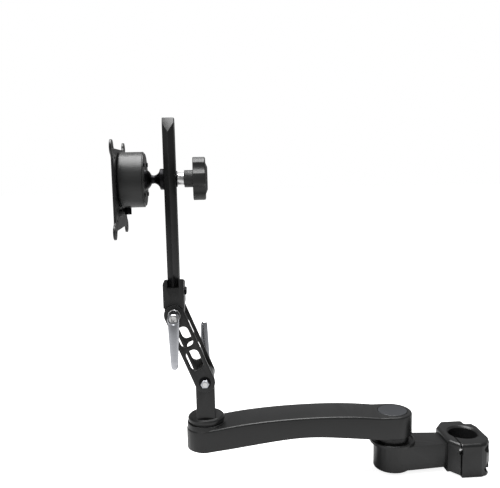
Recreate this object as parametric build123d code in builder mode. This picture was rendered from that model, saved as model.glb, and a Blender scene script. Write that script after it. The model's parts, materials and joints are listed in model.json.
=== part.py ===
from build123d import *
import os
from math import acos, cos, degrees, radians, sin

# Monitor arm that clamps on a round pole. Millimetres. The origin is on the pole's axis, at the
# clamp's lower face. +Z is up the pole, the arm runs along -X and the operator's side is -Y.

# Driving dimensions
POLE_R = 19.05  # 1.5 inch pole
CLAMP_H = 45.0
ELBOW_X = -98.0
SWIVEL_X = -348.0  # 250 mm from the elbow
ARM_HALF_W = 26.0
LINK_LENGTH = 96.0
LINK_TILT = 21.9  # degrees from the vertical
LOWER_PIVOT_Z = 138.5
HEAD_Z = 397.0
BALL_X = -421.0
VESA_PITCHES = (100.0, 75.0)
VESA_HOLE_R = 2.25
LOBE_R = 9.0
PLATE_SIDE = 98.0
STOP_Y = 14.0  # two stop studs on the plate, below the housing
STOP_R = 4.5
STOP_END = -443.2

# Fits and gaps
GAP = 0.3  # between faces that move past each other
FIT = 0.05  # radial, in bushes and threads that turn

# Clamp and elbow hub
SLIT = (-17.7, -16.1)
SCREW_Y = -30.0
SCREW_ZS = (9.0, 36.0)
SCREW_TIP_X = -20.0
SCREW_R = 4.0
HEAD_R = 6.5
HUB_R = 25.0
HUB_BOTTOM = 2.5
HUB_TOP = 38.0
COLLAR_R = 30.0
COLLAR_TOP = 42.3
COLLAR_DIP = 1.5  # the collar is a shallow dish with a raised rim
RIM_WIDTH = 2.6
BOSS_R = 22.0
BOSS_TOP = 48.5
THRUST_TOP = 50.7
ARM_BOTTOM = THRUST_TOP + GAP
PIN_R = 8.0
BUSH_R = 10.0
PIN_BOTTOM = 14.0
PIN_SHOULDER = 70.3
NUT_TOP = 76.0
STEM_R = 6.0
SPRING_R = 13.0
SPRING_H = 2.7
POCKET_R = 15.0
WELL_Z = 69.0  # floor of the pocket over the elbow pin
CAP_SEAT = 77.0
CAP_TOP = 80.8
CAP_R = 19.4
ARM_HUB_TOP = 80.0
ARM_EDGE_R = 2.5
ARM_FLOOR = 45.0

# Swivel
SWIVEL_BOSS_TOP = 79.0
SWIVEL_FLOOR = 57.0
SWIVEL_SPRING_Z = 54.0
FLANGE_Z = (81.0, 88.0)
FLANGE_R = 24.0

# Link and its pivots
POST_HALF = (12.2, 18.0)
PLATE_Y = (19.3, 24.3)
PLATE_HALF_W = 13.0
STUD_R = 5.0
STUD_END_R = 3.0
NUT_FLATS = 10.0
PLAIN_WASHER_R = 7.6
WASHER_H = 1.2
TILT_BUSH_R = 7.0
WASHER_R = 11.5
UPPER_X = SWIVEL_X - LINK_LENGTH * sin(radians(LINK_TILT))
UPPER_Z = LOWER_PIVOT_Z + LINK_LENGTH * cos(radians(LINK_TILT))

# Mast
BAR_X = -384.0
BAR_HALF_X = 7.2
BAR_HALF_Y = 20.0
BAR_CORNER_Y = 13.0
BAR_Z = (262.0, 472.5)
TENON_Z = 246.0
SLOT_W = 10.4
SLOT_Z = (280.0, 460.0)
BRACKET_HALF = (13.0, 24.0)
BRACKET_Z = (236.6, 273.5)
BACK_EDGE_Z = 262.5
BAR_LEFT = BAR_X - BAR_HALF_X
BAR_RIGHT = BAR_X + BAR_HALF_X

# Head
BALL_R = 15.0
SEAT_R = 18.0
SEAT_ANGLE = 70.0
HOUSING_R = 34.5
HOUSING_X = (-446.0, -416.5)
RING_RIGHT = -414.5
POCKET_X = -443.0  # floor of the pocket behind the plate
PLATE_X = (-449.0, -446.3)
PLATE_Z = HEAD_Z - 11.0  # the hole square's centre
ROD_R = 4.0

BASE = (Align.CENTER, Align.CENTER, Align.MIN)


def up(x, y, z):
    return Plane((x, y, z))


def right(x, y, z):
    return Plane((x, y, z), x_dir=(0, 1, 0), z_dir=(1, 0, 0))


def front(x, y, z):
    return Plane((x, y, z), x_dir=(1, 0, 0), z_dir=(0, -1, 0))


def back(x, y, z):
    return Plane((x, y, z), x_dir=(1, 0, 0), z_dir=(0, 1, 0))


def rod(plane, radius, length, mode=Mode.ADD):
    """A round bar, or a round hole, from the plane along its normal."""
    with Locations(plane):
        Cylinder(radius, length, align=BASE, mode=mode)


def hole(plane, radius, length):
    rod(plane, radius, length, Mode.SUBTRACT)


def block(low, high, mode=Mode.ADD):
    """A box between two corners."""
    size = [b - a for a, b in zip(low, high)]
    middle = tuple((a + b) / 2 for a, b in zip(low, high))
    with Locations(middle):
        Box(*size, mode=mode)


def write(part, name):
    part.label = name
    export_step(part, f"parts/{name}.step")


os.makedirs("parts", exist_ok=True)

# ---------------------------------------------------------------- pole clamp and elbow hub
HEX_SOCKET_R = 3.0
EXTENSION_Z = 5.5
CLAMP_FRONT = [(-29, -22), (-18.5, -36.5), (-16, -39), (10, -39), (18, -35.5), (25, -27.5), (28.5, -17)]
CLAMP_BACK = [(28.5, 17), (25, 28), (15, 28.5), (15, 36), (11, 39), (-16, 39), (-18.5, 36.5), (-29, 22)]
CLAMP_OUTLINE = CLAMP_FRONT + CLAMP_BACK

with BuildPart() as pole_clamp:
    with BuildSketch() as plan:
        with BuildLine():
            Polyline(*CLAMP_OUTLINE, close=True)
        make_face()
        fillet(plan.vertices(), 1.2)
    extrude(amount=CLAMP_H)
    front_top = pole_clamp.edges().filter_by(Axis.X).group_by(Axis.Y)[0].sort_by(Axis.Z)[-1]
    fillet(front_top, 4.5)
    with BuildSketch(Plane.XY.offset(EXTENSION_Z)):
        with BuildLine():
            Polyline((-20, -18), (-30, -18), (ELBOW_X + 8, -23.6), (ELBOW_X + 8, 23.6), (-30, 18), (-20, 18),
                     close=True)
        make_face()
    extrude(amount=HUB_TOP - EXTENSION_Z)
    with BuildSketch(Plane.XY.offset(HUB_BOTTOM)):
        with Locations((ELBOW_X, 0)):
            Circle(HUB_R)
    extrude(amount=HUB_TOP - HUB_BOTTOM)
    hub_rim = pole_clamp.edges().filter_by(GeomType.CIRCLE).group_by(Axis.X)[0].sort_by(Axis.Z)[0]
    fillet(hub_rim, 2.5)
    rod(up(ELBOW_X, 0, HUB_TOP), COLLAR_R, COLLAR_TOP - HUB_TOP)
    collar_rim = pole_clamp.edges().filter_by(GeomType.CIRCLE).filter_by(
        lambda edge: abs(edge.radius - COLLAR_R) < 0.01).sort_by(Axis.Z)[-1]
    fillet(collar_rim, 1.4)
    hole(up(ELBOW_X, 0, COLLAR_TOP - COLLAR_DIP), COLLAR_R - RIM_WIDTH, 5)
    rod(up(ELBOW_X, 0, COLLAR_TOP - COLLAR_DIP), BOSS_R, BOSS_TOP - COLLAR_TOP + COLLAR_DIP)
    hole(up(0, 0, -1), POLE_R, CLAMP_H + 2)
    bore_rim = pole_clamp.edges().filter_by(GeomType.CIRCLE).filter_by(
        lambda edge: abs(edge.radius - POLE_R) < 0.01).sort_by(Axis.Z)[-1]
    chamfer(bore_rim, 2.5)
    block((SLIT[0], -45, -1), (SLIT[1], -5, CLAMP_H + 1), Mode.SUBTRACT)
    for z in SCREW_ZS:
        hole(right(SCREW_TIP_X, SCREW_Y, z), SCREW_R, 30)
        hole(right(6, SCREW_Y, z), HEAD_R + 0.5, 24)
    block((-19, -45, SCREW_ZS[1] - 5), (-15, -31.5, SCREW_ZS[1] + 4), Mode.SUBTRACT)
    block((-30, -45, -1), (SLIT[0], -20.5, 2.5), Mode.SUBTRACT)
    block((22.5, -45, -1), (30, 45, 5), Mode.SUBTRACT)
    hole(up(ELBOW_X, 0, PIN_BOTTOM), PIN_R, 40)
    hole(up(ELBOW_X, 0, 0), SCREW_R, 20)
    hole(up(ELBOW_X, 0, 0), HEAD_R + 0.5, 10.5)
write(pole_clamp.part, "pole_clamp")

with BuildPart() as clamp_screws:
    for z in SCREW_ZS:
        rod(right(SCREW_TIP_X, SCREW_Y, z), SCREW_R, 6 - SCREW_TIP_X)
        rod(right(6, SCREW_Y, z), HEAD_R, 8)
        with BuildSketch(Plane.YZ.offset(10)):
            with Locations((SCREW_Y, z)):
                RegularPolygon(HEX_SOCKET_R, 6, major_radius=False)
        extrude(amount=5, mode=Mode.SUBTRACT)
write(clamp_screws.part, "clamp_screws")

with BuildPart() as elbow_pin:
    rod(up(ELBOW_X, 0, PIN_BOTTOM), PIN_R, PIN_SHOULDER - PIN_BOTTOM)
    rod(up(ELBOW_X, 0, PIN_SHOULDER), STEM_R, NUT_TOP - PIN_SHOULDER)
    hole(up(ELBOW_X, 0, PIN_BOTTOM), SCREW_R, 20)
write(elbow_pin.part, "elbow_pin")

with BuildPart() as elbow_pin_bolt:
    rod(up(ELBOW_X, 0, 4), HEAD_R, 6.5)
    rod(up(ELBOW_X, 0, 10.5), SCREW_R, 18)
    with BuildSketch(Plane.XY.offset(3)):
        with Locations((ELBOW_X, 0)):
            RegularPolygon(HEX_SOCKET_R, 6, major_radius=False)
    extrude(amount=4.5, mode=Mode.SUBTRACT)
write(elbow_pin_bolt.part, "elbow_pin_bolt")

with BuildPart() as elbow_thrust_washer:
    rod(up(ELBOW_X, 0, BOSS_TOP), BOSS_R + 0.5, THRUST_TOP - BOSS_TOP)
    hole(up(ELBOW_X, 0, BOSS_TOP), PIN_R, THRUST_TOP - BOSS_TOP)
write(elbow_thrust_washer.part, "elbow_thrust_washer")

with BuildPart() as elbow_springs:
    rod(up(ELBOW_X, 0, PIN_SHOULDER), SPRING_R, SPRING_H)
    hole(up(ELBOW_X, 0, PIN_SHOULDER), STEM_R, SPRING_H)
write(elbow_springs.part, "elbow_springs")

with BuildPart() as elbow_nut:
    with BuildSketch(Plane.XY.offset(PIN_SHOULDER + SPRING_H)):
        with Locations((ELBOW_X, 0)):
            RegularPolygon(9.5, 6, major_radius=False)
            Circle(STEM_R, mode=Mode.SUBTRACT)
    extrude(amount=NUT_TOP - PIN_SHOULDER - SPRING_H)
write(elbow_nut.part, "elbow_nut")

# ---------------------------------------------------------------- main arm
ARM_TOP = [(-380, 72.6), (-348, 74.2), (-312, 79.4), (-279, 82.9), (-220, 85.6), (-170, 85), (-120, 80.6)]
ARM_BOTTOM_LINE = [(-118, 51.0), (-141, 53.2), (-188, 57.9), (-214, 59.2), (-250, 57.3), (-331, 47.3)]

with BuildPart() as main_arm:
    with BuildSketch(Plane.XZ):
        with BuildLine():
            Spline(*ARM_TOP)
            Line(ARM_TOP[-1], (-70, ARM_HUB_TOP))
            Line((-70, ARM_HUB_TOP), (-70, ARM_BOTTOM))
            Line((-70, ARM_BOTTOM), ARM_BOTTOM_LINE[0])
            Spline(*ARM_BOTTOM_LINE)
            Line(ARM_BOTTOM_LINE[-1], (-350, ARM_FLOOR))
            Line((-350, ARM_FLOOR), (-380, ARM_FLOOR))
            Line((-380, ARM_FLOOR), ARM_TOP[0])
        make_face()
    extrude(amount=40, both=True)
    with BuildSketch(Plane.XY.offset(30)):
        with Locations(((ELBOW_X + SWIVEL_X) / 2, 0)):
            SlotCenterToCenter(ELBOW_X - SWIVEL_X, 2 * ARM_HALF_W)
    extrude(amount=80, mode=Mode.INTERSECT)
    across = main_arm.edges().filter_by(Axis.Y)
    rim = main_arm.faces().filter_by(lambda face: face.normal_at().Z > 0.7).edges()
    fillet(rim.filter_by(lambda edge: edge not in across), ARM_EDGE_R)
    rod(up(SWIVEL_X, 0, 60), HUB_R, SWIVEL_BOSS_TOP - 60)
    hole(up(ELBOW_X, 0, 40), BUSH_R, 40)
    hole(up(ELBOW_X, 0, WELL_Z), POCKET_R, 20)
    hole(up(ELBOW_X, 0, CAP_SEAT), CAP_R + 0.5, 20)
    hole(up(SWIVEL_X, 0, 40), BUSH_R, 60)
    hole(up(SWIVEL_X, 0, 40), POCKET_R, SWIVEL_FLOOR - 40)
write(main_arm.part, "main_arm")

with BuildPart() as elbow_cap:
    rod(up(ELBOW_X, 0, CAP_SEAT), CAP_R, CAP_TOP - CAP_SEAT)
    fillet(elbow_cap.edges().group_by(Axis.Z)[-1], 0.8)
write(elbow_cap.part, "elbow_cap")

with BuildPart() as elbow_friction_washer:
    rod(up(ELBOW_X, 0, WELL_Z), 14, 1)
    hole(up(ELBOW_X, 0, WELL_Z), PIN_R + FIT, 1)
write(elbow_friction_washer.part, "elbow_friction_washer")


def bush_pair(x, low, high):
    """Two plain bushes at the ends of a bore."""
    with BuildPart() as pair:
        for z in (low, high - 8):
            rod(up(x, 0, z), BUSH_R, 8)
            hole(up(x, 0, z), PIN_R + FIT, 8)
    return pair.part


write(bush_pair(ELBOW_X, ARM_BOTTOM + GAP, WELL_Z), "elbow_bushes")
write(bush_pair(SWIVEL_X, SWIVEL_FLOOR, SWIVEL_BOSS_TOP), "swivel_bushes")

with BuildPart() as swivel_washer:
    rod(up(SWIVEL_X, 0, SWIVEL_BOSS_TOP), 22.8, 1.6)
    hole(up(SWIVEL_X, 0, SWIVEL_BOSS_TOP), PIN_R + FIT, 1.6)
write(swivel_washer.part, "swivel_washer")

with BuildPart() as swivel_plug:
    rod(up(SWIVEL_X, 0, ARM_FLOOR), POCKET_R, 3)
    chamfer(swivel_plug.edges().group_by(Axis.Z)[0], 0.8)
write(swivel_plug.part, "swivel_plug")

# ---------------------------------------------------------------- upright on the swivel
with BuildPart() as swivel_flange:
    rod(up(SWIVEL_X, 0, FLANGE_Z[0]), FLANGE_R, FLANGE_Z[1] - FLANGE_Z[0])
    chamfer(swivel_flange.edges().group_by(Axis.Z)[-1], 2.5)
    hole(up(SWIVEL_X, 0, FLANGE_Z[0]), PIN_R, 20)
write(swivel_flange.part, "swivel_flange")

with BuildPart() as upright_post:
    with BuildSketch(Plane.XZ) as side:
        with Locations((SWIVEL_X, (FLANGE_Z[1] + LOWER_PIVOT_Z) / 2)):
            Rectangle(2 * POST_HALF[0], LOWER_PIVOT_Z - FLANGE_Z[1])
        with Locations((SWIVEL_X, LOWER_PIVOT_Z)):
            Circle(POST_HALF[0])
    extrude(amount=POST_HALF[1], both=True)
    chamfer(upright_post.edges().filter_by(Axis.Z), 0.8)
    hole(up(SWIVEL_X, 0, FLANGE_Z[1]), STEM_R, 18)
    hole(back(SWIVEL_X, -20, LOWER_PIVOT_Z), TILT_BUSH_R, 40)
write(upright_post.part, "upright_post")

with BuildPart() as swivel_bolt:
    rod(up(SWIVEL_X, 0, 49), 12.5, 5)
    rod(up(SWIVEL_X, 0, SWIVEL_SPRING_Z), PIN_R, FLANGE_Z[1] - SWIVEL_SPRING_Z)
    rod(up(SWIVEL_X, 0, FLANGE_Z[1]), STEM_R, 17)
    with BuildSketch(Plane.XY.offset(48)):
        with Locations((SWIVEL_X, 0)):
            RegularPolygon(5, 6, major_radius=False)
    extrude(amount=5, mode=Mode.SUBTRACT)
write(swivel_bolt.part, "swivel_bolt")

with BuildPart() as swivel_springs:
    rod(up(SWIVEL_X, 0, SWIVEL_SPRING_Z), SPRING_R, SPRING_H)
    hole(up(SWIVEL_X, 0, SWIVEL_SPRING_Z), PIN_R, SPRING_H)
write(swivel_springs.part, "swivel_springs")


def tilt_bushes(x, z):
    """Two flanged bushes, one from each side, whose flanges are the friction faces."""
    with BuildPart() as pair:
        for place in (front, back):
            side = 1 if place is back else -1
            rod(place(x, side * 4, z), TILT_BUSH_R, POST_HALF[1] - 4)
            rod(place(x, side * POST_HALF[1], z), WASHER_R, 1)
            hole(place(x, side * 4, z), STUD_R + FIT, 20)
    return pair.part


write(tilt_bushes(SWIVEL_X, LOWER_PIVOT_Z), "lower_tilt_bushes")
write(tilt_bushes(UPPER_X, UPPER_Z), "upper_tilt_bushes")

# ---------------------------------------------------------------- link
WINDOW_W = 16.6
WINDOW_CORNER_R = 6.5
WINDOWS = ((17.5, 44.5), (50.0, 77.0))  # along the link, from its upper pivot


def link_plate(y):
    """One side plate of the link, with its inner face at y."""
    slope = Plane((UPPER_X, y, UPPER_Z), x_dir=(sin(radians(LINK_TILT)), 0, -cos(radians(LINK_TILT))),
                  z_dir=(0, 1, 0))
    with BuildPart() as plate:
        with BuildSketch(slope):
            with Locations((LINK_LENGTH / 2, 0)):
                SlotCenterToCenter(LINK_LENGTH, 2 * PLATE_HALF_W)
            with Locations((0, 0), (LINK_LENGTH, 0)):
                Circle(STUD_R, mode=Mode.SUBTRACT)
            for start, end in WINDOWS:
                with Locations(((start + end) / 2, 0)):
                    RectangleRounded(end - start, WINDOW_W, WINDOW_CORNER_R, mode=Mode.SUBTRACT)
        extrude(amount=PLATE_Y[1] - PLATE_Y[0])
        chamfer(plate.edges().group_by(Axis.Y)[0], 0.5)
        chamfer(plate.edges().group_by(Axis.Y)[-1], 0.5)
    return plate.part


write(link_plate(PLATE_Y[0]), "rear_link_plate")
write(link_plate(-PLATE_Y[1]), "front_link_plate")


def pivot_stud(x, z, nut, lever):
    """A stud through both plates: a nut side and a longer lever side, each given by its plane."""
    with BuildPart() as stud:
        rod(nut(x, 0, z), STUD_R, PLATE_Y[1])
        rod(lever(x, 0, z), STUD_R, PLATE_Y[1])
        rod(nut(x, 0, z), STUD_END_R, 31.6)
        rod(lever(x, 0, z), STUD_END_R, 40)
    return stud.part


def pivot_nut(plane):
    with BuildPart() as nut:
        with BuildSketch(plane):
            RegularPolygon(NUT_FLATS / 2, 6, major_radius=False)
            Circle(STUD_END_R, mode=Mode.SUBTRACT)
        extrude(amount=5.4)
        chamfer(nut.edges().filter_by(GeomType.LINE).group_by(Axis.Y)[-1 if plane.z_dir.Y > 0 else 0], 0.6)
    return nut.part


def pivot_washer(plane):
    with BuildPart() as washer:
        rod(plane, PLAIN_WASHER_R, WASHER_H)
        hole(plane, STUD_END_R, WASHER_H)
    return washer.part


NUT_Y = PLATE_Y[1] + WASHER_H
write(pivot_stud(SWIVEL_X, LOWER_PIVOT_Z, front, back), "lower_pivot_stud")
write(pivot_nut(front(SWIVEL_X, -NUT_Y, LOWER_PIVOT_Z)), "lower_pivot_nut")
write(pivot_washer(front(SWIVEL_X, -PLATE_Y[1], LOWER_PIVOT_Z)), "lower_pivot_washer")
write(pivot_stud(UPPER_X, UPPER_Z, back, front), "upper_pivot_stud")
write(pivot_nut(back(UPPER_X, NUT_Y, UPPER_Z)), "upper_pivot_nut")
write(pivot_washer(back(UPPER_X, PLATE_Y[1], UPPER_Z)), "upper_pivot_washer")

# ---------------------------------------------------------------- clamping levers
INSERT_START = PLATE_Y[1] + GAP
INSERT_END = 44.0
SPLINE_R = 4.4
LEVER_HUB_R = 7.3
LEVER_RECESS_R = 5.8
LEVER_START = 27.3
LEVER_END = 49.0
LEVER_SHOULDER = 40.0
LEVER_REACH = 62.5


def lever_insert(x, z, place, side):
    """Threaded insert: a flange and a twelve-sided drive for the handle."""
    with BuildPart() as insert:
        rod(place(x, side * INSERT_START, z), 7.8, 2.4)
        with BuildSketch(place(x, side * (INSERT_START + 2.4), z)):
            RegularPolygon(SPLINE_R, 12)
        extrude(amount=INSERT_END - INSERT_START - 2.4)
        hole(place(x, side * INSERT_START, z), STUD_END_R + FIT, INSERT_END - INSERT_START - 2)
        hole(place(x, side * INSERT_START, z), 1.5, 30)
    return insert.part


def lever_screw(x, z, place, side):
    """The screw that keeps the handle on its insert."""
    with BuildPart() as screw:
        rod(place(x, side * 42, z), 1.5, 2)
        rod(place(x, side * INSERT_END, z), LEVER_RECESS_R - 0.4, 2.6)
        with BuildSketch(place(x, side * (INSERT_END + 1), z)):
            RegularPolygon(2, 6, major_radius=False)
        extrude(amount=3, mode=Mode.SUBTRACT)
    return screw.part


def lever_handle(x, z, place, side, down):
    """Zinc handle: a hub and a cranked, tapering arm that points down or up."""
    turn = -1 if down else 1
    crank = [(36, 2), (LEVER_END, 2), (LEVER_END, 14), (52, LEVER_REACH - 4), (51, LEVER_REACH),
             (45, LEVER_REACH), (44, LEVER_REACH - 6), (37, 12)]
    with BuildPart() as handle:
        with BuildSketch(Plane((x, 0, z), x_dir=(0, 1, 0), z_dir=(1, 0, 0))):
            with BuildLine():
                Polyline(*[(side * y, turn * rise) for y, rise in crank], close=True)
            make_face()
        extrude(amount=8, both=True)
        with BuildSketch(Plane((x, 0, z), x_dir=(1, 0, 0), z_dir=(0, -1, 0))):
            with BuildLine():
                Polyline((-6.65, turn), (6.65, turn), (4.35, turn * (LEVER_REACH - 1.5)),
                         (2.5, turn * LEVER_REACH), (-2.5, turn * LEVER_REACH),
                         (-4.35, turn * (LEVER_REACH - 1.5)), close=True)
            make_face()
        extrude(amount=80, both=True, mode=Mode.INTERSECT)
        rod(place(x, side * LEVER_START, z), LEVER_HUB_R, LEVER_END - LEVER_START)
        with BuildSketch(place(x, side * LEVER_START, z)):
            RegularPolygon(SPLINE_R + GAP, 12)
        extrude(amount=30, mode=Mode.SUBTRACT)
        hole(place(x, side * LEVER_SHOULDER, z), LEVER_RECESS_R, 30)
    return handle.part


for name, x, z, place, side, down in (
    ("upper", UPPER_X, UPPER_Z, front, -1, True),
    ("lower", SWIVEL_X, LOWER_PIVOT_Z, back, 1, False),
):
    write(lever_insert(x, z, place, side), f"{name}_lever_insert")
    write(lever_screw(x, z, place, side), f"{name}_lever_screw")
    write(lever_handle(x, z, place, side, down), f"{name}_lever_handle")

# ---------------------------------------------------------------- mast
TENON_HALF_Y = 9.0
MAST_SCREW_Z = 254.0
MAST_SCREW_YS = (-5.0, 5.0)

with BuildPart() as mast_bracket:
    with BuildSketch(Plane.XZ) as side:
        with Locations(((UPPER_X + BAR_X) / 2, (BRACKET_Z[0] + BRACKET_Z[1]) / 2)):
            Rectangle(2 * BRACKET_HALF[0], BRACKET_Z[1] - BRACKET_Z[0])
        fillet(side.vertices().sort_by(Axis.X)[:2].sort_by(Axis.Y)[-1], 8)
        fillet(side.vertices().sort_by(Axis.X)[-2:].sort_by(Axis.Y)[-1], 2.5)
    extrude(amount=BRACKET_HALF[1], both=True)
    with BuildSketch(Plane.YZ.offset(-420)):
        with BuildLine():
            Polyline((-30, BRACKET_Z[1]), (-24, BRACKET_Z[1]), (24, BACK_EDGE_Z), (24, 290), (-30, 290),
                     close=True)
        make_face()
    extrude(amount=80, mode=Mode.SUBTRACT)
    hole(back(UPPER_X, -30, UPPER_Z), PLATE_HALF_W + 0.6, 60)
    with BuildSketch(Plane.XZ):
        with Locations((UPPER_X, UPPER_Z)):
            Circle(12.2)
        with Locations((UPPER_X, (UPPER_Z + BRACKET_Z[0] + 6) / 2)):
            Rectangle(24.4, BRACKET_Z[0] + 6 - UPPER_Z)
    extrude(amount=POST_HALF[1], both=True)
    hole(back(UPPER_X, -30, UPPER_Z), TILT_BUSH_R, 60)
    block((BAR_LEFT, -30, BAR_Z[0]), (BAR_RIGHT, 30, 290), Mode.SUBTRACT)
    block((BAR_LEFT, -TENON_HALF_Y, TENON_Z), (BAR_RIGHT, TENON_HALF_Y, 290), Mode.SUBTRACT)
    for y in MAST_SCREW_YS:
        hole(right(BAR_RIGHT - 1, y, MAST_SCREW_Z), 2.5, 20)
write(mast_bracket.part, "mast_bracket")

with BuildPart() as mast_bar:
    with BuildSketch(Plane.XY.offset(BAR_Z[0])):
        with BuildLine():
            Polyline((BAR_X, -BAR_HALF_Y), (BAR_RIGHT, -BAR_CORNER_Y), (BAR_RIGHT, BAR_CORNER_Y),
                     (BAR_X, BAR_HALF_Y), (BAR_LEFT, BAR_CORNER_Y), (BAR_LEFT, -BAR_CORNER_Y), close=True)
        make_face()
    extrude(amount=BAR_Z[1] - BAR_Z[0])
    for side in (-1, 1):
        with BuildSketch(Plane.YZ.offset(-400)):
            with BuildLine():
                Polyline((side * 9, BAR_Z[1]), (side * BAR_HALF_Y, 454), (side * 30, 454), (side * 30, 480),
                         (side * 9, 480), close=True)
            make_face()
        extrude(amount=40, mode=Mode.SUBTRACT)
    with BuildSketch(Plane.YZ.offset(-400)):
        with Locations((0, sum(SLOT_Z) / 2)):
            SlotOverall(SLOT_Z[1] - SLOT_Z[0], SLOT_W, rotation=90)
    extrude(amount=40, mode=Mode.SUBTRACT)
    block((BAR_LEFT, -TENON_HALF_Y, TENON_Z), (BAR_RIGHT, TENON_HALF_Y, BAR_Z[0]))
    for y in MAST_SCREW_YS:
        hole(right(BAR_RIGHT - 9, y, MAST_SCREW_Z), 2.5, 20)
write(mast_bar.part, "mast_bar")

with BuildPart() as mast_screws:
    face_x = (UPPER_X + BAR_X) / 2 + BRACKET_HALF[0]
    for y in MAST_SCREW_YS:
        rod(right(BAR_RIGHT - 9, y, MAST_SCREW_Z), 2.5, face_x - BAR_RIGHT + 9)
        rod(right(face_x, y, MAST_SCREW_Z), 4.2, 2.6)
        with BuildSketch(Plane.YZ.offset(face_x + 1)):
            with Locations((y, MAST_SCREW_Z)):
                RegularPolygon(1.5, 6, major_radius=False)
        extrude(amount=3, mode=Mode.SUBTRACT)
write(mast_screws.part, "mast_screws")

# ---------------------------------------------------------------- carriage and height knob
WASHER_X = (BAR_RIGHT + 0.5, BAR_RIGHT + 1.8)
SPACER_END = -366.7
KNOB_X = (-366.3, -337.2)
KNOB_HEAD_X = -355.3
KNOB_R = 28.0
DOME_RISE = 2.4
ROD_END = -345.0
KEY_HALF = (SLOT_W / 2 - GAP, 6.0)
NECK_R = 5.0
NECK_ANGLE = 21.5
FLANGE_R_STUD = 13.2
BALL_AXIS = Axis((BALL_X, 0, HEAD_Z), (1, 0, 0))
BALL_PLANE = Plane((BALL_X, 0, HEAD_Z), x_dir=(1, 0, 0), z_dir=(0, -1, 0))

with BuildPart() as ball_stud:
    with BuildSketch(BALL_PLANE):
        with BuildLine():
            ball = CenterArc((0, 0), BALL_R, NECK_ANGLE, 180 - NECK_ANGLE)
            waist = Line(ball @ 0, (17, NECK_R))
            flare = ThreePointArc(waist @ 1, (22, 7.4), (24.5, FLANGE_R_STUD - 0.7))
            Polyline(flare @ 1, (25.3, FLANGE_R_STUD), (BAR_LEFT - GAP - BALL_X, FLANGE_R_STUD),
                     (BAR_LEFT - GAP - BALL_X, 0), ball @ 1)
        make_face()
    revolve(axis=BALL_AXIS)
    block((BAR_LEFT - GAP, -KEY_HALF[0], HEAD_Z - KEY_HALF[1]), (BAR_X, KEY_HALF[0], HEAD_Z + KEY_HALF[1]))
    rod(right(BAR_LEFT - GAP, 0, HEAD_Z), ROD_R, ROD_END - BAR_LEFT + GAP)
write(ball_stud.part, "ball_stud")

with BuildPart() as slide_washer:
    rod(right(WASHER_X[0], 0, HEAD_Z), 10, WASHER_X[1] - WASHER_X[0])
    hole(right(WASHER_X[0], 0, HEAD_Z), ROD_R, 5)
write(slide_washer.part, "slide_washer")

with BuildPart() as knob_spacer:
    rod(right(WASHER_X[1], 0, HEAD_Z), 7.8, SPACER_END - WASHER_X[1])
    hole(right(WASHER_X[1], 0, HEAD_Z), ROD_R, 20)
write(knob_spacer.part, "knob_spacer")

with BuildPart() as height_knob:
    with BuildSketch(right(KNOB_HEAD_X, 0, HEAD_Z)) as lobes:
        Circle(KNOB_R)
        with PolarLocations(KNOB_R + 8.5, 6, start_angle=30):
            Circle(12, mode=Mode.SUBTRACT)
        fillet(lobes.vertices(), 3)
    extrude(amount=KNOB_X[1] - KNOB_HEAD_X - DOME_RISE)
    fillet(height_knob.edges().group_by(Axis.X)[-1], 2)
    fillet(height_knob.edges().group_by(Axis.X)[0], 1)
    rod(right(KNOB_X[0], 0, HEAD_Z), 10.8, KNOB_HEAD_X - KNOB_X[0])
    with Locations(right(KNOB_X[1] - DOME_RISE, 0, HEAD_Z)):
        Cone(20, 14, DOME_RISE, align=BASE)
    fillet(height_knob.edges().group_by(Axis.X)[-1], 2)
    hole(right(KNOB_X[0], 0, HEAD_Z), 7, 16)
    hole(right(KNOB_X[0], 0, HEAD_Z), 5, 22.5)
write(height_knob.part, "height_knob")

with BuildPart() as knob_insert:
    rod(right(KNOB_X[0], 0, HEAD_Z), 7, 16)
    hole(right(KNOB_X[0], 0, HEAD_Z), ROD_R + FIT, 16)
write(knob_insert.part, "knob_insert")

# ---------------------------------------------------------------- ball seats, housing and plate
SEAT_INNER_R = BALL_R + FIT
CAVITY_R = SEAT_R + FIT


def ball_seat(start, end):
    """Half of the plastic shell round the ball, between two angles from the head's axis."""
    with BuildPart() as seat:
        with BuildSketch(BALL_PLANE):
            with BuildLine():
                outer = CenterArc((0, 0), SEAT_R, start, end - start)
                inner = CenterArc((0, 0), SEAT_INNER_R, start, end - start)
                Line(outer @ 0, inner @ 0)
                Line(outer @ 1, inner @ 1)
            make_face()
        revolve(axis=BALL_AXIS)
    return seat.part


write(ball_seat(90, 180), "rear_ball_seat")
write(ball_seat(SEAT_ANGLE, 90), "front_ball_seat")

RING_SCREW_R = 26.0
TENSION_X = -438.0
TENSION_R = 3.0
with BuildPart() as head_housing:
    rod(right(HOUSING_X[0], 0, HEAD_Z), HOUSING_R, HOUSING_X[1] - HOUSING_X[0])
    fillet(head_housing.edges().group_by(Axis.X)[0], 3)
    with Locations((BALL_X, 0, HEAD_Z)):
        Sphere(CAVITY_R, mode=Mode.SUBTRACT)
    hole(right(BALL_X, 0, HEAD_Z), CAVITY_R, 20)
    hole(right(POCKET_X, 0, HEAD_Z), 11.3, 12)
    hole(right(-450, 0, HEAD_Z), PIN_R + FIT, 12)
    with Locations(right(HOUSING_X[1] - 10, 0, HEAD_Z)):
        with PolarLocations(RING_SCREW_R, 4, start_angle=45):
            Cylinder(1.5, 10, align=BASE, mode=Mode.SUBTRACT)
    hole(up(TENSION_X, 0, HEAD_Z - 40), TENSION_R, 16)
    hole(up(TENSION_X, 0, HEAD_Z - 40), 4.6, 6.4)
write(head_housing.part, "head_housing")

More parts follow.
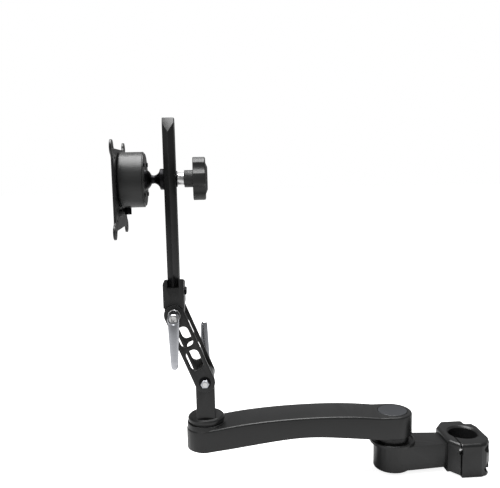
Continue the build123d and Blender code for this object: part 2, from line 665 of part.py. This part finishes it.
with BuildPart() as tension_screw:
    rod(up(TENSION_X, 0, HEAD_Z - 34), TENSION_R, 10)
    with BuildSketch(Plane.XY.offset(HEAD_Z - 43)):
        with Locations((TENSION_X, 0)):
            Circle(4.2)
            with PolarLocations(4.5, 12):
                Circle(0.6, mode=Mode.SUBTRACT)
    extrude(amount=9)
    with BuildSketch(Plane.XY.offset(HEAD_Z - 44)):
        with Locations((TENSION_X, 0)):
            RegularPolygon(2.2, 6, major_radius=False)
    extrude(amount=4, mode=Mode.SUBTRACT)
write(tension_screw.part, "tension_screw")

with BuildPart() as retaining_ring:
    ring_left = HOUSING_X[1] - BALL_X
    ring_right = RING_RIGHT - BALL_X
    with BuildSketch(BALL_PLANE):
        with BuildLine():
            lip = CenterArc((0, 0), CAVITY_R, degrees(acos(ring_right / CAVITY_R)),
                            degrees(acos(ring_left / CAVITY_R) - acos(ring_right / CAVITY_R)))
            Polyline(lip @ 1, (ring_left, 33), (ring_right - 0.8, 33), (ring_right, 32.2), lip @ 0)
        make_face()
    revolve(axis=BALL_AXIS)
    with Locations(right(HOUSING_X[1], 0, HEAD_Z)):
        with PolarLocations(RING_SCREW_R, 4, start_angle=45):
            Cylinder(1.5, 5, align=BASE, mode=Mode.SUBTRACT)
write(retaining_ring.part, "retaining_ring")

with BuildPart() as ring_screws:
    with Locations(right(HOUSING_X[1] - 8, 0, HEAD_Z)):
        with PolarLocations(RING_SCREW_R, 4, start_angle=45):
            Cylinder(1.5, RING_RIGHT - HOUSING_X[1] + 8, align=BASE)
    with Locations(right(RING_RIGHT, 0, HEAD_Z)):
        with PolarLocations(RING_SCREW_R, 4, start_angle=45):
            Cylinder(2.8, 1.4, align=BASE)
write(ring_screws.part, "ring_screws")

with BuildPart() as vesa_plate:
    with BuildSketch(Plane.YZ.offset(PLATE_X[0])):
        with Locations((0, PLATE_Z)):
            Rectangle(PLATE_SIDE, PLATE_SIDE)
            with GridLocations(VESA_PITCHES[0], VESA_PITCHES[0], 2, 2):
                Circle(LOBE_R)
            for pitch in VESA_PITCHES:
                with GridLocations(pitch, pitch, 2, 2):
                    Circle(VESA_HOLE_R, mode=Mode.SUBTRACT)
    extrude(amount=PLATE_X[1] - PLATE_X[0])
    plate_middle = Vector(sum(PLATE_X) / 2, 0, PLATE_Z)
    lobe_foot = VESA_PITCHES[0] / 2 - (LOBE_R**2 - (VESA_PITCHES[0] - PLATE_SIDE) ** 2 / 4) ** 0.5
    foot_distance = (lobe_foot**2 + PLATE_SIDE**2 / 4) ** 0.5
    fillet(vesa_plate.edges().filter_by(Axis.X).filter_by(
        lambda edge: abs((edge.center() - plate_middle).length - foot_distance) < 0.5), 6)
    for y in (-STOP_Y, STOP_Y):
        rod(right(PLATE_X[0] + 1, y, PLATE_Z - 29), STOP_R, STOP_END - PLATE_X[0] - 1)
    hole(right(PLATE_X[0], 0, HEAD_Z), 5, 5)
write(vesa_plate.part, "vesa_plate")

with BuildPart() as plate_spindle:
    rod(right(PLATE_X[0] + 0.4, 0, HEAD_Z), 5, PLATE_X[1] - PLATE_X[0] - 0.4)
    rod(right(PLATE_X[1], 0, HEAD_Z), PIN_R, POCKET_X + GAP - PLATE_X[1])
    hole(right(PLATE_X[1], 0, HEAD_Z), 2.5, 10)
write(plate_spindle.part, "plate_spindle")

with BuildPart() as spindle_washer:
    rod(right(POCKET_X + GAP, 0, HEAD_Z), 10.8, 1.5)
    hole(right(POCKET_X + GAP, 0, HEAD_Z), 2.5, 2)
write(spindle_washer.part, "spindle_washer")

with BuildPart() as spindle_screw:
    rod(right(PLATE_X[1], 0, HEAD_Z), 2.5, -441.2 - PLATE_X[1])
    rod(right(-441.2, 0, HEAD_Z), 5, 1.5)
write(spindle_screw.part, "spindle_screw")
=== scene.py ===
"""Builds the looks of a pole-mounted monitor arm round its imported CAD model."""

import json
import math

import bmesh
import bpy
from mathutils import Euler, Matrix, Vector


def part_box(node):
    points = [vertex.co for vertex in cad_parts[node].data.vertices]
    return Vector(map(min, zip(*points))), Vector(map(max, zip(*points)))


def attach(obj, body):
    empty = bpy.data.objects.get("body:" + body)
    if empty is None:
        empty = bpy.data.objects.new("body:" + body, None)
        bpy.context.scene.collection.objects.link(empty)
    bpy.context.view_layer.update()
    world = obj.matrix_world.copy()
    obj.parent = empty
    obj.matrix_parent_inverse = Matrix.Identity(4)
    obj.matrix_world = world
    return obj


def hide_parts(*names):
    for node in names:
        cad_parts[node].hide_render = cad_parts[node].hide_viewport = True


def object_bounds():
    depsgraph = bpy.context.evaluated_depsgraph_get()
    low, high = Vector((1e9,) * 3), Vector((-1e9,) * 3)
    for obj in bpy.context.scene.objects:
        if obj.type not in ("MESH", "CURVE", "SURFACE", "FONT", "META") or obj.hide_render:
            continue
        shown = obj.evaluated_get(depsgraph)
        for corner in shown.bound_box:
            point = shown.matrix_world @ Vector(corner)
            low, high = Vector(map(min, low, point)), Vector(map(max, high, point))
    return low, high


bl_info = {
    "name": "Pole-mounted monitor arm",
    "version": (1, 0, 0),
    "blender": (4, 5, 0),
    "location": "View3D > Sidebar > Monitor Arm",
    "description": "Finishes the castings, levers, ball head and stage of a monitor arm",
    "category": "Object",
}

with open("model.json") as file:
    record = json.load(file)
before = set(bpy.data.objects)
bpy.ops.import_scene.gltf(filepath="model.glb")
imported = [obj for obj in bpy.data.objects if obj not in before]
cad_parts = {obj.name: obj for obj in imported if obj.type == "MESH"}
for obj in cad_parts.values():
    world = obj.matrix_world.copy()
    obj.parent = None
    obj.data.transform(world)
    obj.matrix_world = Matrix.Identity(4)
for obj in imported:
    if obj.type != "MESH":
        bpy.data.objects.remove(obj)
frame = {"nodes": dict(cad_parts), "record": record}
CAD_BOX = [list(corner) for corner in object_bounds()]
BODY_OF = {node: body for body, nodes in frame["record"]["behaviour"]["bodies"].items() for node in nodes}
SLOT_OF = {part["node"]: part["material_slot"] for part in frame["record"]["subparts"]}
SLOT_COLOUR = {slot["slot"]: slot["base_color"][:3] for slot in frame["record"]["materials"]}
MM = 0.001

SHARP = math.radians(28.0)  # edges sharper than this are bevelled
CREASE = math.radians(32.0)  # edges sharper than this stay crisp under smooth shading
COPLANAR = math.radians(0.5)  # faces closer than this to one plane are merged
BEVEL_SEGMENTS = 3
WELD = 0.004 * MM
SPIN_STEPS = 72
SPIN_WELD = 0.002 * MM
RING_POINTS = 32
SPECULAR = 0.42


# ---------------------------------------------------------------- settings


def colour_prop(name, description, default):
    return bpy.props.FloatVectorProperty(
        name=name, description=description, subtype="COLOR", size=3, min=0, max=1, default=default)


def length_prop(name, description, default):
    return bpy.props.FloatProperty(
        name=name, description=description, default=default, min=0, unit="LENGTH", precision=4)


class ArmFinishes(bpy.types.PropertyGroup):
    """Colours of the arm's finishes"""

    powder: colour_prop("Powder coat", "Black powder coat on the castings", (0.009, 0.0092, 0.0094))
    head: colour_prop("Head coat", "Slightly lighter coat on the head housing", (0.017, 0.0175, 0.0175))
    plastic: colour_prop("Plastic", "Moulded cap, knob and washers", (0.012, 0.0125, 0.0125))
    cap: colour_prop("Cap", "Lid of the elbow", (0.024, 0.0255, 0.029))
    oxide: colour_prop("Black oxide", "Ball stud, black washers and black screws", (0.012, 0.012, 0.013))
    zinc: colour_prop("Zinc plate", "Screws and the bright spacer", SLOT_COLOUR["zinc_steel"])
    chrome: colour_prop("Chrome", "Clamping levers and lock nuts", (0.5, 0.51, 0.54))
    bronze: colour_prop("Bronze", "Plain bushes", SLOT_COLOUR["bronze"])


class ArmEdges(bpy.types.PropertyGroup):
    """Edge breaks and small sizes"""

    casting: length_prop("Casting edge", "Rounding of cast edges", 0.8 * MM)
    plate: length_prop("Plate edge", "Edge break of cut plates", 0.45 * MM)
    screw: length_prop("Screw edge", "Edge break of screws, nuts and washers", 0.25 * MM)
    lever: length_prop("Lever edge", "Rounding of the die-cast levers", 1.3 * MM)


class ArmStage(bpy.types.PropertyGroup):
    """Camera, lights and floor"""

    camera_place: bpy.props.FloatVectorProperty(
        name="Camera place", description="Where the camera stands", subtype="XYZ", unit="LENGTH",
        default=(-0.3343, -0.7746, 0.4054))
    camera_heading: bpy.props.FloatProperty(
        name="Heading", description="Turn of the camera to the right", subtype="ANGLE",
        default=math.radians(3.62))
    camera_dip: bpy.props.FloatProperty(
        name="Dip", description="How far the camera looks down", subtype="ANGLE", default=math.radians(6.87))
    camera_roll: bpy.props.FloatProperty(
        name="Roll", description="Turn of the camera about its own line of sight", subtype="ANGLE",
        default=math.radians(-1.24))
    lens: bpy.props.FloatProperty(
        name="Lens", description="Focal length on a 36 mm sensor, in millimetres", default=43.83)
    floor: colour_prop("Floor", "Pale studio floor", (0.62, 0.62, 0.62))
    glow: bpy.props.FloatProperty(name="Glow", description="The floor's own light", default=1.4)
    sky: bpy.props.FloatProperty(name="Sky", description="Strength of the white surroundings", default=0.26)
    key: bpy.props.FloatProperty(
        name="Key", description="Power of the overhead softbox", default=44.0, unit="POWER")


def finishes():
    return bpy.context.scene.arm_finishes


def edges():
    return bpy.context.scene.arm_edges


# ---------------------------------------------------------------- materials


class Value:
    """A number that varies over a surface. Python's operators on it add Math nodes."""

    def __init__(self, finish, socket):
        self.finish = finish
        self.socket = socket

    def maths(self, operation, first, second, clamp=False):
        settings = {"operation": operation, "use_clamp": clamp}
        return self.finish.node("ShaderNodeMath", settings, {0: first, 1: second})

    def __add__(self, other):
        return self.maths("ADD", self, other)

    def __radd__(self, other):
        return self.maths("ADD", other, self)

    def __sub__(self, other):
        return self.maths("SUBTRACT", self, other)

    def __rsub__(self, other):
        return self.maths("SUBTRACT", other, self)

    def __mul__(self, other):
        return self.maths("MULTIPLY", self, other)

    def __rmul__(self, other):
        return self.maths("MULTIPLY", other, self)

    def clamped(self):
        return self.maths("ADD", self, 0.0, clamp=True)


class Finish:
    """One material: a Principled shader whose sockets take numbers or Values."""

    def __init__(self, name):
        self.material = bpy.data.materials.new(name)
        self.material.use_nodes = True
        self.tree = self.material.node_tree
        self.tree.nodes.clear()
        self.shader = self.tree.nodes.new("ShaderNodeBsdfPrincipled")
        output = self.tree.nodes.new("ShaderNodeOutputMaterial")
        self.tree.links.new(self.shader.outputs[0], output.inputs[0])
        self.place = self.node("ShaderNodeTexCoord", {}, {}, output="Object")

    def node(self, kind, settings, values, output=0):
        made = self.tree.nodes.new(kind)
        for key, setting in settings.items():
            setattr(made, key, setting)
        for key, value in values.items():
            self.feed(made.inputs[key], value)
        return Value(self, made.outputs[output])

    def feed(self, socket, value):
        if isinstance(value, Value):
            self.tree.links.new(value.socket, socket)
        else:
            socket.default_value = value

    def set(self, **values):
        for key, value in values.items():
            self.feed(self.shader.inputs[key.replace("_", " ")], value)

    def noise(self, scale, detail=3.0, roughness=0.55, place=None):
        values = {"Vector": place or self.place, "Scale": scale, "Detail": detail, "Roughness": roughness}
        return self.node("ShaderNodeTexNoise", {}, values)

    def stretched(self, factors):
        """Object coordinates drawn out along an axis, for brushed or turned grain."""
        return self.node("ShaderNodeMapping", {}, {"Vector": self.place, "Scale": factors})

    def ramp(self, value, low, high):
        """Rises from 0 to 1 as the value goes from low to high."""
        settings = {"interpolation_type": "SMOOTHSTEP"}
        return self.node("ShaderNodeMapRange", settings, {"Value": value, "From Min": low, "From Max": high})

    def blend(self, factor, first, second):
        """A colour between the first, at 0, and the second, at 1."""
        made = self.tree.nodes.new("ShaderNodeMix")
        made.data_type = "RGBA"
        self.feed(made.inputs[0], factor)
        for socket, colour in ((made.inputs[6], first), (made.inputs[7], second)):
            self.feed(socket, colour if isinstance(colour, Value) else (*colour, 1.0))
        return Value(self, made.outputs[2])

    def bump(self, height, distance, strength):
        self.set(Normal=self.node("ShaderNodeBump", {}, {"Height": height, "Distance": distance,
                                                         "Strength": strength}))


def shade(colour, factor):
    return tuple(min(1.0, part * factor) for part in colour)


def coat(name, colour, gloss):
    """Fine-textured powder coat: grain, cloudy sheen and a few dusty patches."""
    finish = Finish(name)
    cloud = finish.noise(14.0, 2.0)
    grain = finish.noise(1500.0, 2.0, 0.6)
    pores = finish.noise(420.0, 3.0, 0.6)
    dust = finish.ramp(finish.noise(60.0, 5.0, 0.7), 0.58, 0.78)
    tone = finish.blend(cloud, shade(colour, 0.85), shade(colour, 1.2))
    finish.set(Base_Color=finish.blend(dust * 0.25, tone, shade(colour, 1.8)))
    finish.set(Roughness=(gloss + 0.10 * (cloud - 0.5) + 0.12 * (pores - 0.5) + 0.05 * dust).clamped())
    finish.set(Specular_IOR_Level=SPECULAR)
    finish.bump(0.7 * grain + 0.3 * pores, 0.00012, 0.5)
    return finish.material


def moulding(name, colour):
    """Spark-eroded black plastic."""
    finish = Finish(name)
    spark = finish.noise(1100.0, 3.0, 0.7)
    flow = finish.noise(25.0, 2.0)
    finish.set(Base_Color=finish.blend(flow, shade(colour, 0.85), shade(colour, 1.15)))
    finish.set(Roughness=(0.46 + 0.12 * (spark - 0.5) + 0.06 * (flow - 0.5)).clamped())
    finish.set(Specular_IOR_Level=SPECULAR)
    finish.bump(spark, 0.0001, 0.5)
    return finish.material


def plated(name, colour, rough, grain):
    """Plated or polished steel with fine handling marks and a faint cloud."""
    finish = Finish(name)
    marks = finish.noise(90.0, 6.0, 0.75, finish.stretched(grain))
    cloud = finish.noise(35.0, 2.0)
    finish.set(Metallic=1.0)
    finish.set(Base_Color=finish.blend(finish.ramp(marks, 0.45, 0.8), colour, shade(colour, 0.78)))
    finish.set(Roughness=(rough + 0.10 * finish.ramp(marks, 0.4, 0.75) + 0.05 * (cloud - 0.5)).clamped())
    finish.bump(marks, 0.00006, 0.3)
    return finish.material


def make_materials():
    colours = finishes()
    return {
        "powder_black": coat("powder_coat", colours.powder, 0.33),
        "head_coat": coat("head_coat", colours.head, 0.38),
        "black_plastic": moulding("moulded_plastic", colours.plastic),
        "cap_plastic": moulding("cap_plastic", colours.cap),
        "blackened_steel": plated("black_oxide", colours.oxide, 0.3, (1, 1, 6)),
        "zinc_steel": plated("zinc_plate", colours.zinc, 0.24, (8, 1, 1)),
        "chrome_plate": plated("chrome_plate", colours.chrome, 0.2, (1, 1, 3)),
        "bronze": plated("bronze", colours.bronze, 0.35, (1, 1, 8)),
    }


MATERIALS = {}


# ---------------------------------------------------------------- mesh helpers


def finish_piece(piece, material, slot, body, *replaced):
    piece.data.materials.clear()
    piece.data.materials.append(MATERIALS[material])
    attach(piece, body)
    if replaced:
        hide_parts(*replaced)
    return piece


def new_object(name, bm):
    mesh = bpy.data.meshes.new(name)
    bm.to_mesh(mesh)
    bm.free()
    mesh.shade_smooth()
    piece = bpy.data.objects.new(name, mesh)
    bpy.context.scene.collection.objects.link(piece)
    return piece


def crease(piece):
    """Keeps sharp corners crisp under smooth shading."""
    piece.data.set_sharp_from_angle(angle=CREASE)
    return piece


def round_edges(piece, width):
    """A live Bevel on every sharp edge."""
    bevel = piece.modifiers.new("edges", "BEVEL")
    bevel.width = width
    bevel.segments = BEVEL_SEGMENTS
    bevel.profile = 0.5
    bevel.limit_method = "ANGLE"
    bevel.angle_limit = SHARP
    bevel.harden_normals = True
    bevel.use_clamp_overlap = True
    bevel.miter_outer = "MITER_ARC"
    return piece


def worked_copy(node, width, material=None):
    """A welded copy of a CAD node with its edges broken, which stands for the node."""
    bm = bmesh.new()
    bm.from_mesh(frame["nodes"][node].data)
    bmesh.ops.remove_doubles(bm, verts=bm.verts, dist=WELD)
    bmesh.ops.dissolve_degenerate(bm, edges=bm.edges, dist=WELD)
    bmesh.ops.dissolve_limit(bm, angle_limit=COPLANAR, verts=bm.verts, edges=bm.edges,
                             use_dissolve_boundaries=False)
    piece = round_edges(new_object(f"{node}_finished", bm), width)
    return finish_piece(piece, material or SLOT_OF[node], SLOT_OF[node], BODY_OF[node], node)


def turned_bmesh(profile, axis):
    """Spins points of (distance along the axis, radius) round an axis through the origin."""
    bm = bmesh.new()
    points = [bm.verts.new((radius, 0, along)) for along, radius in profile]
    lines = [bm.edges.new(pair) for pair in zip(points, points[1:])]
    bmesh.ops.spin(bm, geom=points + lines, cent=(0, 0, 0), axis=(0, 0, 1), angle=math.tau, steps=SPIN_STEPS,
                   use_merge=True)
    bmesh.ops.remove_doubles(bm, verts=bm.verts, dist=SPIN_WELD)
    bmesh.ops.recalc_face_normals(bm, faces=bm.faces)
    turn = Vector((0, 0, 1)).rotation_difference(Vector(axis)).to_matrix()
    bmesh.ops.rotate(bm, verts=bm.verts, cent=(0, 0, 0), matrix=turn)
    return bm


def lofted_bmesh(sections, squareness):
    """Skins flat sections of (middle, half width, half depth), each a rounded rectangle across Z."""
    bm = bmesh.new()
    rings = []
    for centre, half_x, half_y in sections:
        made = bmesh.ops.create_circle(bm, cap_ends=False, radius=1.0, segments=RING_POINTS)
        for vert in made["verts"]:
            fold = (abs(vert.co.x) ** squareness + abs(vert.co.y) ** squareness) ** (-1 / squareness)
            vert.co = centre + Vector((vert.co.x * fold * half_x, vert.co.y * fold * half_y, 0))
        rings.append(list(dict.fromkeys(edge for vert in made["verts"] for edge in vert.link_edges)))
    for ring, following in zip(rings, rings[1:]):
        bmesh.ops.bridge_loops(bm, edges=ring + following)
    for ring in (rings[0], rings[-1]):
        bmesh.ops.contextual_create(bm, geom=ring)
    bmesh.ops.recalc_face_normals(bm, faces=bm.faces)
    return bm


def middle(node):
    low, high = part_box(node)
    return (low + high) / 2


def moved(bm, place):
    bmesh.ops.translate(bm, verts=bm.verts, vec=place)
    return bm


def joined(name, *meshes):
    """One object from several bmeshes."""
    whole = bmesh.new()
    for bm in meshes:
        scratch = bpy.data.meshes.new("scratch")
        bm.to_mesh(scratch)
        bm.free()
        whole.from_mesh(scratch)
        bpy.data.meshes.remove(scratch)
    return new_object(name, whole)


# ---------------------------------------------------------------- operators


class PieceOperator:
    """Shared by every operator that makes pieces"""

    bl_options = {"REGISTER", "UNDO"}


class ARM_OT_finishes(PieceOperator, bpy.types.Operator):
    """Make the materials and put them on every CAD node"""

    bl_idname = "arm.finishes"
    bl_label = "Finishes"

    def execute(self, context):
        MATERIALS.update(make_materials())
        for name, node in frame["nodes"].items():
            node.data.materials.clear()
            node.data.materials.append(MATERIALS[SLOT_OF[name]])
        return {"FINISHED"}


class ARM_OT_castings(PieceOperator, bpy.types.Operator):
    """Finish the clamp, the main arm with its cap and washers, the swivel flange and the post"""

    bl_idname = "arm.castings"
    bl_label = "Castings"

    def execute(self, context):
        width = edges().casting
        for node in ("pole_clamp", "main_arm", "swivel_flange", "upright_post"):
            worked_copy(node, width)
        worked_copy("elbow_cap", edges().plate, "cap_plastic")
        worked_copy("elbow_thrust_washer", edges().screw)
        worked_copy("swivel_washer", edges().screw)
        return {"FINISHED"}


class ARM_OT_link(PieceOperator, bpy.types.Operator):
    """Finish the two link plates"""

    bl_idname = "arm.link"
    bl_label = "Link plates"

    def execute(self, context):
        for node in ("front_link_plate", "rear_link_plate"):
            worked_copy(node, edges().plate)
        return {"FINISHED"}


class ARM_OT_mast(PieceOperator, bpy.types.Operator):
    """Finish the bracket and the slotted bar"""

    bl_idname = "arm.mast"
    bl_label = "Mast"

    def execute(self, context):
        worked_copy("mast_bracket", edges().plate)
        worked_copy("mast_bar", edges().plate)
        return {"FINISHED"}


class ARM_OT_fasteners(PieceOperator, bpy.types.Operator):
    """Break the edges of the visible screws, nuts, washers and spacer"""

    bl_idname = "arm.fasteners"
    bl_label = "Fasteners"

    def execute(self, context):
        worked_copy("mast_screws", edges().screw, "blackened_steel")
        for node in ("clamp_screws", "lower_pivot_nut", "upper_pivot_nut", "lower_pivot_washer",
                     "upper_pivot_washer", "slide_washer", "knob_spacer", "tension_screw"):
            worked_copy(node, edges().screw)
        return {"FINISHED"}


class ARM_OT_levers(PieceOperator, bpy.types.Operator):
    """Model the two die-cast clamping levers"""

    bl_idname = "arm.levers"
    bl_label = "Clamping levers"

    def hub(self, side, near, far):
        """The round hub, with a rounded front and a recess for the screw."""
        outer = 7.3 * MM
        recess = 5.8 * MM
        bore = 4.9 * MM
        shoulder = far - 9 * MM
        profile = [
            (near, bore), (near, outer - 0.5 * MM), (near + 0.6 * MM, outer), (far - 2.2 * MM, outer),
            (far - 1.0 * MM, outer - 0.35 * MM), (far - 0.25 * MM, outer - 0.9 * MM),
            (far, recess + 0.3 * MM), (far - 0.3 * MM, recess), (shoulder, recess), (shoulder, bore),
            (near, bore),
        ]
        return turned_bmesh(profile, (0, side, 0))

    def arm(self, side, reach, near):
        """The tapering arm, lofted from the hub to a round tip."""
        start = 3.5 * MM
        tip = 5.0 * MM
        squareness = 2.8
        stations = [(start + (reach - tip - start) * step / 8, 1.0) for step in range(9)]
        stations += [(reach - tip + tip * math.sin(angle), math.cos(angle))
                     for angle in (math.radians(degree) for degree in (18, 36, 52, 66, 78))]
        sections = []
        for rise, swell in stations:
            along = (rise - start) / (reach - start)
            half_w = (7.1 - 2.9 * along) * MM * swell
            half_t = (5.4 - 2.1 * along) * MM * swell
            out = near + (15.6 + 5.6 * along ** 0.8) * MM
            sections.append((Vector((0, side * out, rise)), half_w, half_t))
        return lofted_bmesh(sections, squareness)

    def lever(self, node):
        low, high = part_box(node)
        screw = middle(node.replace("handle", "screw"))
        side = 1 if screw.y > 0 else -1
        pivot = Vector((screw.x, 0, screw.z))
        reach = max(high.z - pivot.z, pivot.z - low.z)
        near = min(abs(low.y), abs(high.y))
        hub_end = 49.0 * MM
        hub = self.hub(side, near, hub_end)
        arm = self.arm(side, reach, near)
        if pivot.z - low.z > high.z - pivot.z:
            bmesh.ops.rotate(arm, verts=arm.verts, cent=(0, 0, 0), matrix=Matrix.Rotation(math.pi, 3, "Y"))
        piece = crease(joined(f"{node}_cast", moved(hub, pivot), moved(arm, pivot)))
        return finish_piece(piece, "chrome_plate", "chrome_plate", BODY_OF[node], node)

    def execute(self, context):
        for node in ("upper_lever_handle", "lower_lever_handle"):
            self.lever(node)
        for node in ("upper_lever_screw", "lower_lever_screw", "upper_lever_insert", "lower_lever_insert"):
            worked_copy(node, edges().screw)
        return {"FINISHED"}


class ARM_OT_ball_head(PieceOperator, bpy.types.Operator):
    """Finish the ball stud, the housing with its ring and screws, and the screen plate"""

    bl_idname = "arm.ball_head"
    bl_label = "Ball head"

    def execute(self, context):
        worked_copy("vesa_plate", edges().plate)
        worked_copy("ball_stud", edges().screw)
        worked_copy("head_housing", edges().casting, "head_coat")
        worked_copy("retaining_ring", edges().screw, "head_coat")
        worked_copy("ring_screws", edges().screw, "blackened_steel")
        return {"FINISHED"}


class ARM_OT_knob(PieceOperator, bpy.types.Operator):
    """Finish the lobed height knob"""

    bl_idname = "arm.knob"
    bl_label = "Height knob"

    def execute(self, context):
        worked_copy("height_knob", edges().casting)
        return {"FINISHED"}


class ARM_OT_stage(PieceOperator, bpy.types.Operator):
    """Set the camera, the floor and the soft lights"""

    bl_idname = "arm.stage"
    bl_label = "Stage"

    def camera(self, stage):
        data = bpy.data.cameras.new("camera")
        data.lens = stage.lens
        data.sensor_width = 36.0
        camera = bpy.data.objects.new("camera", data)
        turn = Euler((math.pi / 2 - stage.camera_dip, 0, -stage.camera_heading), "XYZ").to_matrix()
        roll = Matrix.Rotation(stage.camera_roll, 3, "Z")
        camera.matrix_world = Matrix.Translation(stage.camera_place) @ (turn @ roll).to_4x4()
        bpy.context.scene.collection.objects.link(camera)
        bpy.context.scene.camera = camera

    def floor(self, stage):
        finish = Finish("studio_floor")
        cloud = finish.noise(1.5, 2.0)
        finish.set(Base_Color=finish.blend(cloud, shade(stage.floor, 0.985), stage.floor), Roughness=0.9)
        seen = finish.node("ShaderNodeLightPath", {}, {}, output="Is Camera Ray")
        finish.set(Emission_Color=finish.blend(seen, (0, 0, 0), stage.floor), Emission_Strength=stage.glow)
        half_side = 12.0
        gap = 1 * MM
        bm = bmesh.new()
        bmesh.ops.create_grid(bm, x_segments=8, y_segments=8, size=half_side)
        floor = new_object("floor", moved(bm, (0, 0, CAD_BOX[0][2] - gap)))
        floor.data.materials.append(finish.material)

    def light(self, name, place, target, size, power):
        data = bpy.data.lights.new(name, "AREA")
        data.shape = "RECTANGLE"
        data.size, data.size_y = size
        data.energy = power
        lamp = bpy.data.objects.new(name, data)
        aim = (Vector(target) - Vector(place)).to_track_quat("-Z", "Y")
        lamp.matrix_world = Matrix.Translation(place) @ aim.to_matrix().to_4x4()
        bpy.context.scene.collection.objects.link(lamp)

    def execute(self, context):
        stage = context.scene.arm_stage
        self.camera(stage)
        self.floor(stage)
        world = bpy.data.worlds.new("studio")
        world.use_nodes = True
        backdrop = world.node_tree.nodes["Background"]
        backdrop.inputs[0].default_value = (1, 1, 1, 1)
        rays = world.node_tree.nodes.new("ShaderNodeLightPath")
        strength = world.node_tree.nodes.new("ShaderNodeMapRange")
        strength.inputs["To Min"].default_value = stage.sky
        strength.inputs["To Max"].default_value = 1.0
        world.node_tree.links.new(rays.outputs["Is Camera Ray"], strength.inputs["Value"])
        world.node_tree.links.new(strength.outputs[0], backdrop.inputs[1])
        context.scene.world = world
        context.scene.view_settings.view_transform = "Standard"
        self.light("overhead", place=(-0.3, 0.1, 1.5), target=(-0.25, 0, 0.1), size=(1.4, 1.0),
                   power=stage.key)
        self.light("front_left", place=(-1.3, -1.2, 0.9), target=(-0.35, 0, 0.3), size=(0.8, 0.8),
                   power=stage.key * 0.12)
        return {"FINISHED"}


class ARM_PT_panel(bpy.types.Panel):
    """The arm's pieces, in the order in which they are made"""

    bl_label = "Monitor Arm"
    bl_space_type = "VIEW_3D"
    bl_region_type = "UI"
    bl_category = "Monitor Arm"

    def draw(self, context):
        for operator in OPERATORS:
            self.layout.operator(operator.bl_idname)
        for group in ("arm_finishes", "arm_edges", "arm_stage"):
            settings = getattr(context.scene, group)
            for key in settings.bl_rna.properties.keys():
                if key not in ("rna_type", "name"):
                    self.layout.prop(settings, key)


OPERATORS = (
    ARM_OT_stage,
    ARM_OT_finishes,
    ARM_OT_castings,
    ARM_OT_link,
    ARM_OT_mast,
    ARM_OT_fasteners,
    ARM_OT_levers,
    ARM_OT_ball_head,
    ARM_OT_knob,
)
CLASSES = (ArmFinishes, ArmEdges, ArmStage, *OPERATORS, ARM_PT_panel)


def register():
    for cls in CLASSES:
        bpy.utils.register_class(cls)
    bpy.types.Scene.arm_finishes = bpy.props.PointerProperty(type=ArmFinishes)
    bpy.types.Scene.arm_edges = bpy.props.PointerProperty(type=ArmEdges)
    bpy.types.Scene.arm_stage = bpy.props.PointerProperty(type=ArmStage)


def unregister():
    for name in ("arm_finishes", "arm_edges", "arm_stage"):
        delattr(bpy.types.Scene, name)
    for cls in reversed(CLASSES):
        bpy.utils.unregister_class(cls)


def main():
    register()
    bpy.ops.arm.stage()
    bpy.ops.arm.finishes()
    bpy.ops.arm.castings()
    bpy.ops.arm.link()
    bpy.ops.arm.mast()
    bpy.ops.arm.fasteners()
    bpy.ops.arm.levers()
    bpy.ops.arm.ball_head()
    bpy.ops.arm.knob()


if __name__ == "__main__":
    main()
